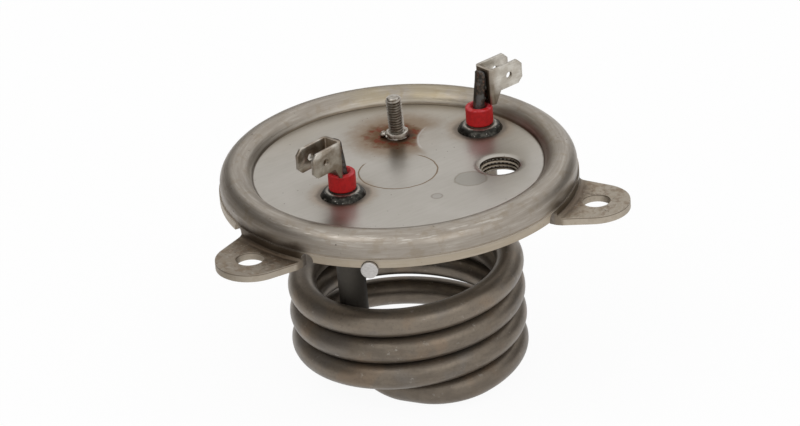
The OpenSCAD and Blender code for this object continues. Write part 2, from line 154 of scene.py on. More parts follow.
class Shader:
    """A material in which lengths are millimetres, with its colour built up in layers."""

    def __init__(self, name, color):
        self.material = bpy.data.materials.new(name)
        self.tree = blank_tree(self.material)
        place = self.node("ShaderNodeTexCoord", {}, {}, "Object")
        self.mm = self.vector("SCALE", place, Scale=1 / MM)
        self.x, self.y, self.z = (self.node("ShaderNodeSeparateXYZ", {}, {0: self.mm}, a) for a in "XYZ")
        self.radius = self.length(self.combine(self.x, self.y, 0.0))
        self.turn = self.x.math("ARCTAN2", self.y, self.x)
        self.color = color

    def node(self, kind, settings, inputs, output=0):
        made = self.tree.nodes.new(kind)
        for key, value in settings.items():
            setattr(made, key, value)
        for key, value in inputs.items():
            if isinstance(value, Value):
                self.tree.links.new(value.socket, made.inputs[key])
            else:
                made.inputs[key].default_value = value
        return Value(self, made.outputs[output]) if made.outputs else made

    def vector(self, operation, *inputs, output=0, **named):
        inputs = {**dict(enumerate(inputs)), **named}
        return self.node("ShaderNodeVectorMath", {"operation": operation}, inputs, output)

    def length(self, vector):
        return self.vector("LENGTH", vector, output="Value")

    def combine(self, x, y, z):
        return self.node("ShaderNodeCombineXYZ", {}, {0: x, 1: y, 2: z})

    def noise(self, where, scale, detail=3.0, roughness=0.5):
        """Noise of about 0.3 to 0.7, with scale features in each unit of where."""
        inputs = {"Vector": where, "Scale": scale, "Detail": detail, "Roughness": roughness}
        return self.node("ShaderNodeTexNoise", {}, inputs)

    def step(self, value, low, high):
        """0 at low and 1 at high, smooth between them. Low may be the larger."""
        inputs = {"Value": value, "From Min": low, "From Max": high, "To Min": 0.0, "To Max": 1.0}
        return self.node("ShaderNodeMapRange", {"interpolation_type": "SMOOTHSTEP"}, inputs)

    def mix(self, share, first, second):
        """First colour where share is 0 and second where it is 1."""
        first, second = (c if isinstance(c, Value) else (*c, 1) for c in (first, second))
        return self.node("ShaderNodeMix", {"data_type": "RGBA"}, {0: share, 6: first, 7: second}, 2)

    def lay(self, share, color):
        """Covers a share of the colour so far with another."""
        self.color = self.mix(share, self.color, color)

    def paint(self, share, *screen):
        """Covers a share of the colour so far with an 8-bit screen colour."""
        self.lay(share, srgb(*screen))

    def reach(self, x, y):
        """Distance in plan from a point."""
        return self.length(self.combine(self.x - x, self.y - y, 0.0))

    def along(self, place, direction):
        """Distance in plan past a point, measured along a direction."""
        return (self.x - place.x) * direction.x + (self.y - place.y) * direction.y

    def facing(self, angle, inner, outer):
        """1 within inner radians of a direction from the flange's axis and 0 beyond outer ones."""
        along = (self.x * math.cos(angle) + self.y * math.sin(angle)) / self.radius
        return self.step(along, math.cos(outer), math.cos(inner))

    def finish(self, roughness, height, strength=0.3, **fixed):
        """Ends the material in a surface. Height is relief in millimetres."""
        bump = self.node("ShaderNodeBump", {}, {"Strength": strength, "Distance": MM, "Height": height})
        inputs = {"Base Color": self.color, "Roughness": roughness, "Normal": bump, **fixed}
        surface = self.node("ShaderNodeBsdfPrincipled", {}, inputs)
        self.node("ShaderNodeOutputMaterial", {}, {"Surface": surface})
        return self.material


# ---------------------------------------------------------------- modelling
def as_mesh(name, bm):
    """Mesh of a bmesh, which is used up."""
    mesh = bpy.data.meshes.new(name)
    bm.to_mesh(mesh)
    bm.free()
    return mesh


def placed(name, data):
    """New object in the scene."""
    thing = bpy.data.objects.new(name, data)
    bpy.context.scene.collection.objects.link(thing)
    return thing


def dress(material, *nodes):
    """Gives CAD nodes a material."""
    for node in nodes:
        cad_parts[node].material_slots[0].material = material


def lathe(profile, steps=96):
    """Ring whose section is a closed profile of (radius, height) points."""
    bm = bmesh.new()
    points = [bm.verts.new((r, 0, z)) for r, z in profile]
    edges = [bm.edges.new((a, b)) for a, b in zip(points, points[1:] + points[:1])]
    bmesh.ops.spin(bm, geom=points + edges, cent=(0, 0, 0), axis=(0, 0, 1), angle=math.tau, steps=steps,
                   use_merge=True)
    return bm


def screw_thread(crest, root, pitch, low, high, steps):
    """Threaded surface round Z between two heights, with its ends cut flat."""
    bm = bmesh.new()
    start = low - 1.5 * pitch
    section = ((root, 0), (root, 0.25), (crest, 0.56), (crest, 0.69), (root, 1))
    points = [bm.verts.new((r, 0, start + share * pitch)) for r, share in section]
    edges = [bm.edges.new(pair) for pair in zip(points, points[1:])]
    turns = math.ceil((high - low) / pitch) + 2
    bmesh.ops.spin(bm, geom=points + edges, cent=(0, 0, 0), axis=(0, 0, 1), dvec=(0, 0, pitch / steps),
                   angle=math.tau * turns, steps=steps * turns)
    bmesh.ops.remove_doubles(bm, verts=bm.verts, dist=1e-4)
    for height, side in ((low, -1), (high, 1)):
        bmesh.ops.bisect_plane(bm, geom=bm.verts[:] + bm.edges[:] + bm.faces[:], plane_co=(0, 0, height),
                               plane_no=(0, 0, side), clear_outer=True)
    return bm


def limit_radius(bm, smallest, largest):
    """Moves each vertex in or out so that its radius stays between two functions of its height."""
    for vert in bm.verts:
        radius = vert.co.xy.length
        wanted = min(max(radius, smallest(vert.co.z)), largest(vert.co.z))
        vert.co.xy *= wanted / radius


def lump(where, size, seed, roughness=0.25):
    """Rounded blob of molten metal."""
    bm = bmesh.new()
    bmesh.ops.create_icosphere(bm, subdivisions=4, radius=1)
    for vert in bm.verts:
        ripple = noise.noise(vert.co * 1.7 + Vector((seed, 0, 0)))
        vert.co *= 1 + roughness * ripple
        vert.co = Vector(where) + Vector(size) * vert.co
    return bm


def joined(*parts):
    """One bmesh of several, which are used up."""
    whole = bmesh.new()
    for part in parts:
        mesh = as_mesh("part", part)
        whole.from_mesh(mesh)
        bpy.data.meshes.remove(mesh)
    return whole


def moved(bm, where):
    """The bmesh, moved from the origin to a place in plan, or by a matrix."""
    matrix = where if isinstance(where, Matrix) else Matrix.Translation((*where, 0))
    bmesh.ops.transform(bm, matrix=matrix, verts=bm.verts)
    return bm


def node_copy(node, whole_faces=False):
    """A CAD node's mesh in millimetres with its loose triangles joined, if asked into whole faces."""
    bm = bmesh.new()
    bm.from_mesh(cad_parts[node].data)
    bmesh.ops.scale(bm, vec=(1 / MM,) * 3, verts=bm.verts)
    bmesh.ops.remove_doubles(bm, verts=bm.verts, dist=1e-4)
    if whole_faces:
        bmesh.ops.dissolve_limit(bm, angle_limit=math.radians(1), verts=bm.verts, edges=bm.edges)
    return bm


def rounded(node, sharpness, offset, segments, clamp=False):
    """A CAD node's mesh with its edges rounded where they turn more than sharpness degrees."""
    bm = node_copy(node, whole_faces=True)
    sharp = [e for e in bm.edges
             if len(e.link_faces) == 2 and e.calc_face_angle(0) > math.radians(sharpness)]
    bmesh.ops.bevel(bm, geom=sharp, offset=offset, offset_type="OFFSET", segments=segments, profile=0.5,
                    affect="EDGES", material=-1, clamp_overlap=clamp)
    return bm


def smooth(value, low, high):
    """0 at low and 1 at high, smooth between them."""
    share = min(max((value - low) / (high - low), 0), 1)
    return share * share * (3 - 2 * share)


def sprung(bm, turn=None):
    """Lifts the back of the coil's turns and bows its inner leg, as they spring after winding."""
    bow, meeting = 1.1, 0.96
    for vert in bm.verts:
        if vert.co.xy.length < COIL_INSIDE:
            vert.co.x += bow * smooth(vert.co.z, -5, -18) * smooth(vert.co.z, -46, -34)
            continue
        around = (-math.atan2(vert.co.y, vert.co.x) / math.tau) % 1
        fallen = (COIL_TOP - vert.co.z) / COIL_PITCH
        # Stretches of tube meet a little before the full turn
        lap = round(fallen - around - 0.02)
        travelled = around + (lap if turn is None or around > meeting else turn)
        for (start, low), (end, high) in zip(SPRUNG, SPRUNG[1:]):
            if start <= travelled < end:
                vert.co.z += low + (high - low) * smooth(travelled, start, end)
    return bm


def add_piece(name, bm, material, slot, *replaced, smooth_angle=35.0):
    """Turns a bmesh in millimetres into a finished piece that rides on the part."""
    bmesh.ops.scale(bm, vec=(MM,) * 3, verts=bm.verts)
    bmesh.ops.recalc_face_normals(bm, faces=bm.faces)
    for face in bm.faces:
        face.smooth = True
    for edge in bm.edges:
        edge.smooth = len(edge.link_faces) == 2 and edge.calc_face_angle(0) < math.radians(smooth_angle)
    mesh = as_mesh(name, bm)
    mesh.materials.append(material)
    piece = placed(name, mesh)
    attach(piece, "root")
    if replaced:
        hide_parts(*replaced)
    return piece


# ---------------------------------------------------------------- settings
def color_property(name, description, color):
    return FloatVectorProperty(name=name, description=description, subtype="COLOR", default=srgb(*color),
                               min=0, max=1)


def length_property(name, description, millimetres):
    return FloatProperty(name=name, description=description, unit="LENGTH", default=millimetres * MM)


class FinishSettings(bpy.types.PropertyGroup):
    """Colours of the metals and the insulators."""

    disc: color_property("Disc", "Flat middle of the flange", (178, 173, 165))
    bead: color_property("Bead", "Round bead and rim of the flange", (161, 153, 143))
    tan: color_property("Tan", "Straw tint of warmed steel", (130, 108, 83))
    rust: color_property("Rust", "Red-brown scale round the stud", (118, 54, 32))
    # The dirt colour also stands for a painted reflection of each ear on the wall above it
    dirt: color_property("Dirt", "Brown film in corners", (64, 52, 41))
    sheath: color_property("Sheath", "Annealed heater tube", (119, 109, 97))
    scale: color_property("Scale", "Dark oxide of the braze", (42, 41, 38))
    insulator: color_property("Insulator", "Red insulator beads", (176, 20, 22))
    tab: color_property("Tab", "Plated tab terminals", (203, 198, 188))
    steel: color_property("Steel", "Bright small steel pieces", (188, 183, 175))


class ThreadSettings(bpy.types.PropertyGroup):
    """Thread sizes of the stud and of the tapped hole."""

    stud_pitch: length_property("Stud pitch", "Rise of the stud's thread each turn", 0.7)
    tap_pitch: length_property("Hole pitch", "Rise of the hole's thread each turn", 1.0)
    steps: IntProperty(name="Steps", description="Facets in each turn of thread", default=48, min=12, max=128)


class StudioSettings(bpy.types.PropertyGroup):
    """Camera and light."""

    lens: FloatProperty(name="Lens", description="Focal length on a 36 mm sensor", default=275.13,
                        unit="CAMERA")
    distance: length_property("Distance", "Camera to the plane through the flange's middle", 1500)
    azimuth: FloatProperty(name="Azimuth", description="Turn of the view from +Y", unit="ROTATION",
                           default=math.radians(11.85))
    elevation: FloatProperty(name="Elevation", description="Height of the view", unit="ROTATION",
                             default=math.radians(26.507))
    roll: FloatProperty(name="Roll", description="Lean of the view", unit="ROTATION",
                        default=math.radians(-4.167))
    across: length_property("Across", "Picture's middle, right of the flange's middle", 0.4325)
    down: length_property("Down", "Picture's middle, below the flange's middle", 11.155)
    lamps: FloatProperty(name="Lamps", description="Radiance of the softboxes, where 1 is white", default=1.6)


# ---------------------------------------------------------------- flange
class StainedSteel(Shader):
    """Steel of the flange, with the noises and masks that its layers share."""

    def __init__(self, name, color):
        super().__init__(name, color)
        self.grime = self.noise(self.mm, 0.35, 5, 0.6)
        self.ragged = self.grime * 5 - 2.5
        self.cloud = self.noise(self.mm, 0.08, 3)
        self.grain = self.noise(self.mm, 2.2, 3)
        # Draw marks run round the bead, and rolling marks straight over the disc
        self.drawn = self.noise(self.combine(self.turn * 5.0, self.radius * 1.5, self.z * 1.5), 1.0, 5, 0.62)
        straight = self.combine(self.x * 0.12 + self.y * 0.05, self.y * 1.1 - self.x * 0.45, 0.0)
        self.rolled = self.noise(straight, 1.0, 4, 0.6)
        self.top = self.step(self.z, -1.2, -0.5)
        self.rim = self.step(self.radius, BEAD_START - 0.5, BEAD_START + 0.8)
        self.ear = self.step(self.radius, EAR_START, EAR_START + 1.0)


def flange_steel(colors):
    """Drawn steel with the stains of its brazing and its use, from the bare metal up."""
    s = StainedSteel("stamped_steel", colors.disc)
    s.paint(s.step(s.rolled, 0.35, 0.7) * 0.25, 164, 158, 149)
    s.paint(s.step(s.cloud, 0.45, 0.62) * 0.35, 186, 181, 174)
    roughness = 0.27 + 0.1 * s.rolled
    for layers in (bead_layers, edge_layers, ear_layers, heat_layers):
        roughness = roughness + layers(s, colors)
    disc_marks(s)
    specks = s.step(s.noise(s.mm, 1.05, 2, 0.4), 0.735, 0.775)
    s.paint(specks * 0.8, 60, 52, 44)
    height = s.grain * 0.03 + s.drawn * s.rim * 0.12 + s.rolled * 0.02 - specks * 0.05
    return s.finish(roughness, height, 0.35, Metallic=1.0)


def bead_layers(s, colors):
    """Colours the bead and the corner at its foot, and returns its share of the roughness."""
    bead = s.mix(s.step(s.drawn, 0.42, 0.62) * 0.35, colors.bead, srgb(138, 129, 117))
    bead = s.mix(s.step(s.drawn, 0.46, 0.32) * 0.35, bead, srgb(190, 184, 174))
    bead = s.mix(s.step(s.grime, 0.5, 0.66) * 0.35, bead, srgb(140, 126, 106))
    s.lay(s.rim, bead)
    # Yellowed stretch at the back of the bead
    yellow = s.facing(BACK, 0.12, 0.55) * s.rim * s.step(s.cloud + s.grime * 0.3, 0.5, 0.7)
    s.paint(yellow * 0.35, 176, 160, 120)
    # Short scuffs on the bead's shoulder at the front, painted bright as a highlight streak
    scuff_highlight = s.noise(s.combine(s.turn * 7.0, s.z * 2.0, s.radius * 0.3), 1.0, 4, 0.6)
    scuff_highlight = s.step(scuff_highlight, 0.55, 0.66) * s.step(abs(s.z - 1.9), 1.2, 0.4) * s.step(s.radius, 41.0, 41.8)
    scuff_highlight = scuff_highlight * s.facing(math.radians(250), 0.5, 0.9)
    s.paint(scuff_highlight * 0.42, 228, 223, 214)
    # Dirt and painted shade lie in the crease round the disc, least at the front
    crease = s.step(abs(s.radius - CREASE + (s.drawn - 0.5) * 0.5), 0.4, 0.1) * s.top
    s.paint(crease * (0.85 - 0.6 * s.facing(FRONT, 0.5, 1.1)), 74, 62, 50)
    # Warm film on the back of the disc
    film = s.facing(BACK, 0.9, 1.6) * s.step(s.radius + s.ragged, 22.0, 34.0) * s.top
    s.paint(film * (1 - s.rim) * 0.3, 150, 136, 112)
    return 0.16 * s.rim * s.drawn - 0.05 * scuff_highlight


def edge_layers(s, colors):
    """Colours the trimmed edge below the bead, with a pale dull line of painted light where it starts,
    against the shade in that corner.
    """
    wall = s.step(s.radius, EDGE_WALL, EDGE_WALL + 0.6)
    line = s.step(abs(s.z + 2.75 + (s.drawn - 0.5) * 0.5), 0.32, 0.06) * wall
    # Painted light: a pale line that brightens the corner where the trimmed edge starts
    s.paint(line * 0.7, 198, 188, 174)
    s.paint(s.step(s.z, -2.7, -3.3) * wall * 0.55, 182, 168, 146)
    return 0.3 * line


def ear_layers(s, colors):
    """Colours the ears and the wall above them, and returns their share of the roughness."""
    # Brown film with a painted reflection of the ear on the wall above each ear, and brown film over the
    # ear's root
    for angle, depth in zip(EAR_ANGLES, (0.78, 0.6)):
        wall = s.facing(angle, 0.2, 0.32) * s.step(s.z + s.ragged * 0.4, -0.2, -2.4)
        s.lay(wall * s.step(s.radius, 47.0, 44.4) * depth, colors.dirt)
        root = s.facing(angle, 0.1, 0.26) * s.step(s.radius + s.ragged, 50.0, 45.0) * s.step(s.z, -4.5, -5.0)
        s.paint(root * 0.7, 90, 74, 59)
    # The left ear is browner, and both are paler toward their ends
    s.paint(s.ear * s.step(s.x, 10.0, -10.0) * 0.75, 106, 93, 78)
    s.paint(s.ear * s.step(s.radius + s.ragged, 46.0, 52.0) * 0.6, 170, 162, 150)
    blotch = s.step(s.noise(s.mm, 0.55, 5, 0.65), 0.5, 0.6) * s.ear
    s.paint(blotch * 0.45, 116, 92, 70)
    s.paint(s.ear * s.step(s.grime, 0.47, 0.6) * 0.3, 146, 130, 110)
    # Pits and worn spots round the ears' holes, thicker on the side that faces the rim
    pitted = s.noise(s.mm, 0.75, 6, 0.75)
    patchy = s.step(s.noise(s.mm, 0.22, 3), 0.42, 0.58)
    for angle in EAR_ANGLES:
        away = s.reach(EAR_PITS * math.cos(angle), EAR_PITS * math.sin(angle))
        close = s.step(away, 10.0, 5.0) * s.ear * patchy
        s.paint(close * s.step(pitted, 0.5, 0.6) * 0.6, 84, 70, 56)
    s.paint(s.ear * s.step(pitted, 0.45, 0.36) * 0.4, 188, 181, 171)
    # Painted highlight on the ear's sheared side, below a painted dark line of shade at its upper edge
    s.paint(s.step(s.z, -5.22, -5.3) * s.ear * 0.62, 190, 180, 165)
    s.paint(s.step(abs(s.z + 5.5), 0.2, 0.05) * s.ear * 0.7, 88, 76, 64)
    return 0.16 * s.ear


def heat_layers(s, colors):
    """Straw and rust round the stud, brown round the collars. Returns their share of the roughness."""
    from_stud = s.reach(*STUD)
    # The wiped patch lost most of the stud's tints
    cleaned = s.step(s.reach(*WIPED) + s.ragged * 0.15, WIPED_R + 1.1, WIPED_R - 0.6)
    tinted = s.top * (1 - 0.8 * cleaned * s.step(s.y, 22.0, 16.0))
    s.lay(s.step(from_stud + s.ragged, 16.0, 8.0) * tinted * 0.85, colors.tan)
    rust = s.step(from_stud + s.ragged * 1.1 + (s.x - STUD.x) * 0.1, 8.4, 5.2) * tinted
    s.paint(rust * 0.95, 110, 80, 54)
    flakes = rust * s.step(s.noise(s.mm, 0.42, 5, 0.6), 0.49, 0.57)
    s.lay(flakes * 0.9, colors.rust)
    soot = s.step(from_stud + s.ragged * 0.6, 5.0, 3.2) * s.top
    s.paint(soot * 0.8, 62, 46, 34)
    warmed = 0.0
    for place in TERMINALS.values():
        away = s.reach(*place)
        warmed = warmed + s.step(away, 15.0, 8.0) * s.top
        s.paint(s.step(away + s.ragged * 0.5, 10.0, 6.6) * s.top * 0.55, 146, 126, 104)
        s.paint(s.step(away + s.ragged * 0.3, 7.4, 6.0) * s.top * 0.8, 102, 92, 82)
    return 0.22 * rust + 0.1 * warmed


def disc_marks(s):
    """A scribed circle, a stain, a small pip and the pale edge of the wiped patch."""
    scribed = s.step(abs(s.reach(*SCRIBED) - SCRIBED_R + (s.grime - 0.5) * 0.5), 0.28, 0.1)
    scribed = scribed * s.step(s.y, 5.6, 4.4) * s.step(s.grain + s.cloud, 0.55, 0.78) * s.top
    s.paint(scribed * 0.9, 114, 92, 64)
    stain = s.reach(*STAIN) - STAIN_R + s.ragged * 0.25
    s.paint(s.step(stain, 0.4, -0.2) * s.top * 0.5, 136, 133, 124)
    s.paint(s.step(abs(stain), 0.45, 0.1) * s.top * 0.35, 128, 118, 100)
    pip = s.reach(*PIP) - PIP_R
    s.paint(s.step(pip, 0.25, -0.25) * s.top * 0.45, 150, 146, 140)
    s.paint(s.step(abs(pip), 0.35, 0.08) * s.top * 0.45, 122, 112, 100)
    wiped = s.step(abs(s.reach(*WIPED) - WIPED_R + s.ragged * 0.08), 0.4, 0.08)
    wiped = wiped * s.step(s.x, 12.5, 10.5) * s.step(s.y, 7.5, 9.5) * s.top
    s.paint(wiped * 0.4, 206, 204, 200)


class HEATER_OT_flange(bpy.types.Operator):
    """Finish the flange and cut the thread of its tapped hole"""

    bl_idname = "heater.flange"
    bl_label = "Flange"

    def execute(self, context):
        scene = context.scene
        steel = flange_steel(scene.heater_finish)
        flange = add_piece("stamped_flange", node_copy("flange"), steel, "flange_steel", "flange")
        self.bore(flange)
        fillet = [(CREASE, 0.0), (35.92, 0.08), (36.2, 0.58), (36.53, 1.18), (36.85, 1.45), (36.9, 1.2),
                  (36.4, -0.6), (CREASE, -0.4)]
        add_piece("bead_fillet", lathe(fillet, 240), steel, "flange_steel")
        add_piece("tapped_thread", self.thread(scene.heater_thread), self.thread_steel(), "flange_steel")
        return {"FINISHED"}

    def bore(self, flange):
        """Opens the tapped hole to the roots of its thread."""
        bm = bmesh.new()
        bmesh.ops.create_cone(bm, cap_ends=True, segments=128, radius1=TAP_ROOT, radius2=TAP_ROOT, depth=8)
        bmesh.ops.translate(bm, verts=bm.verts, vec=(*TAPPED, TAP_END))
        bmesh.ops.scale(bm, vec=(MM,) * 3, verts=bm.verts)
        mesh = as_mesh("drill", bm)
        drill = placed("drill", mesh)
        cut = flange.modifiers.new("bore", "BOOLEAN")
        cut.operation, cut.solver, cut.object = "DIFFERENCE", "EXACT", drill
        result = flange.evaluated_get(bpy.context.evaluated_depsgraph_get())
        bored = bpy.data.meshes.new_from_object(result)
        flange.modifiers.clear()
        old, flange.data = flange.data, bored
        bored.name = "stamped_flange"
        bpy.data.meshes.remove(old)
        bpy.data.objects.remove(drill)
        bpy.data.meshes.remove(mesh)
        if not flange.data.polygons:
            raise RuntimeError("the flange was lost when its hole was bored")

    def thread(self, sizes):
        """Ring that carries the hole's thread, with its outside buried in the flange's collar."""
        buried = TAP_ROOT + 0.25
        pitch = sizes.tap_pitch / MM
        bm = screw_thread(TAP_CREST, TAP_ROOT, pitch, TAP_END, TAP_MOUTH, sizes.steps * 2)
        # Chamfers at both ends
        limit_radius(bm, lambda z: TAP_ROOT - min(TAP_MOUTH - z, z - TAP_END), lambda z: TAP_ROOT)
        for height in (TAP_END, TAP_MOUTH):
            ring = [e for e in bm.edges
                    if e.is_boundary and all(abs(v.co.z - height) < 1e-3 for v in e.verts)]
            made = bmesh.ops.extrude_edge_only(bm, edges=ring)["geom"]
            for vert in (v for v in made if isinstance(v, bmesh.types.BMVert)):
                vert.co.xy *= buried / vert.co.xy.length
        ends = [e for e in bm.edges if e.is_boundary]
        bmesh.ops.bridge_loops(bm, edges=ends)
        return moved(bm, TAPPED)

    def thread_steel(self):
        s = Shader("cut_thread", srgb(164, 153, 137))
        worn = s.noise(s.mm, 1.6, 4, 0.6)
        # Darker in the roots, leaving the crests bright
        away = s.reach(*TAPPED)
        s.paint(s.step(away, TAP_CREST + 0.12, TAP_ROOT - 0.12), 54, 45, 37)
        s.paint(s.step(worn, 0.5, 0.65) * 0.4, 112, 98, 82)
        return s.finish(0.3 + 0.2 * worn, worn * 0.05, Metallic=1.0)


# ---------------------------------------------------------------- tube
class HEATER_OT_sheath(bpy.types.Operator):
    """Finish the heater tube and what it holds"""

    bl_idname = "heater.sheath"
    bl_label = "Heater tube"

    def execute(self, context):
        colors = context.scene.heater_finish
        alloy = self.sheath(colors)
        dress(alloy, *(node for node in SHEATH if node not in COILED and node != "sheath_inner_leg"))
        turns = joined(*(sprung(node_copy(node), turn) for node, turn in COILED.items()))
        add_piece("sprung_turns", turns, alloy, "sheath_alloy", *COILED)
        for name, node, material, slot in (
            ("bowed_leg", "sheath_inner_leg", alloy, "sheath_alloy"),
            ("powder_core", "magnesia_fill", self.powder(), "magnesia"),
            ("wire_core", "resistance_coil", self.wire(), "resistance_wire"),
        ):
            add_piece(name, sprung(node_copy(node)), material, slot, node)
        return {"FINISHED"}

    def sheath(self, colors):
        s = Shader("annealed_tube", colors.sheath)
        # Draw marks follow the coil
        drawn = s.noise(s.combine(s.turn * 6.0, s.radius * 0.7, s.z * 0.7), 1.0, 4, 0.55)
        cloud = s.noise(s.mm, 0.1, 4)
        grain = s.noise(s.mm, 2.4, 3)
        s.paint(s.step(drawn, 0.4, 0.66) * 0.5, 96, 88, 79)
        # The first turn ran cooler and stayed paler
        s.paint(s.step(s.z, -34.0, -30.0) * 0.35, 144, 133, 119)
        s.paint(s.step(cloud, 0.54, 0.68) * 0.3, 144, 120, 96)
        s.paint(s.step(cloud, 0.46, 0.34) * 0.4, 112, 108, 104)
        mottled = s.step(s.noise(s.mm, 1.3, 5, 0.7), 0.5, 0.64)
        s.paint(mottled * 0.3, 92, 85, 77)
        pale = s.step(s.noise(s.mm, 0.5, 5, 0.65), 0.62, 0.72)
        s.paint(pale * 0.5, 168, 162, 154)
        low = s.step(s.z, -45.0, -49.0)
        s.paint(low * 0.4, 102, 93, 83)
        # The inner leg is painted dark as shade inside the coil, and kept the dull scale of its bending
        leg = s.step(s.reach(*TERMINALS["inner"]), 5.0, 4.2) * s.step(s.z, -42.0, -34.0)
        s.paint(leg * 0.9, 74, 71, 66)
        roughness = 0.3 + 0.16 * drawn + 0.2 * leg
        return s.finish(roughness, grain * 0.04 + drawn * 0.05, 0.35, Metallic=0.82)

    def powder(self):
        s = Shader("pressed_powder", srgb(238, 236, 228))
        grain = s.noise(s.mm, 4.0, 4)
        s.paint(grain, 212, 208, 198)
        return s.finish(0.95, grain, 0.2)

    def wire(self):
        s = Shader("heating_wire", srgb(96, 90, 88))
        winding = s.noise(s.mm, 3.0, 2)
        s.paint(winding, 62, 58, 58)
        return s.finish(0.5, winding, 0.2, Metallic=1.0)


# ---------------------------------------------------------------- terminals
class HEATER_OT_collars(bpy.types.Operator):
    """Run the molten braze round the tube's two ends"""

    bl_idname = "heater.collars"
    bl_label = "Braze collars"

    def execute(self, context):
        material = self.braze(context.scene.heater_finish)
        for seed, side in enumerate(SIDES):
            add_piece(f"braze_fillet_{side}", self.fillet(side, seed), material, "braze",
                      f"braze_collar_{side}", smooth_angle=60.0)
        return {"FINISHED"}

    def fillet(self, side, seed):
        """Fillet that climbs the tube and runs out unevenly over the disc."""
        profile = [(3.52, 0.02), (3.52, 1.5), (3.72, 1.56), (4.05, 1.42), (4.4, 1.3), (4.75, 1.16),
                   (5.05, 0.92), (5.3, 0.58), (5.5, 0.26), (5.62, 0.02)]
        bm = lathe(profile, 120)
        for vert in bm.verts:
            radius, angle = vert.co.xy.length, math.atan2(vert.co.y, vert.co.x)
            around = Vector((math.cos(angle), math.sin(angle), seed * 5.0))
            out = max(0.0, (radius - 3.6) / 2)
            ripple = noise.noise(around * 1.3) + 0.5 * noise.noise(around * 3.5)
            vert.co.xy *= 1 + 0.035 * out * ripple
            if vert.co.z > 0.1:
                vert.co.z += 0.16 * out * noise.noise(around * 2.2 + Vector((radius, 0, 0)))
        return moved(bm, TERMINALS[side])

    def braze(self, colors):
        s = Shader("braze_scale", colors.scale)
        mottle = s.noise(s.mm, 0.8, 5, 0.65)
        s.paint(s.step(mottle, 0.42, 0.66), 72, 70, 65)
        # Painted glints: small bright spots on the dark scale
        s.paint(s.step(s.noise(s.mm, 1.2, 4), 0.62, 0.68) * 0.5, 176, 172, 164)
        # Clean metal climbs the tube
        for place in TERMINALS.values():
            away = s.reach(*place)
            s.paint(s.step(away + (mottle - 0.5), 4.5, 3.9) * 0.75, 176, 170, 160)
            s.paint(s.step(abs(away - 3.65), 0.3, 0.05) * 0.5, 58, 50, 44)
        return s.finish(0.2 + 0.25 * mottle, mottle * 0.22, 0.4, Metallic=1.0)


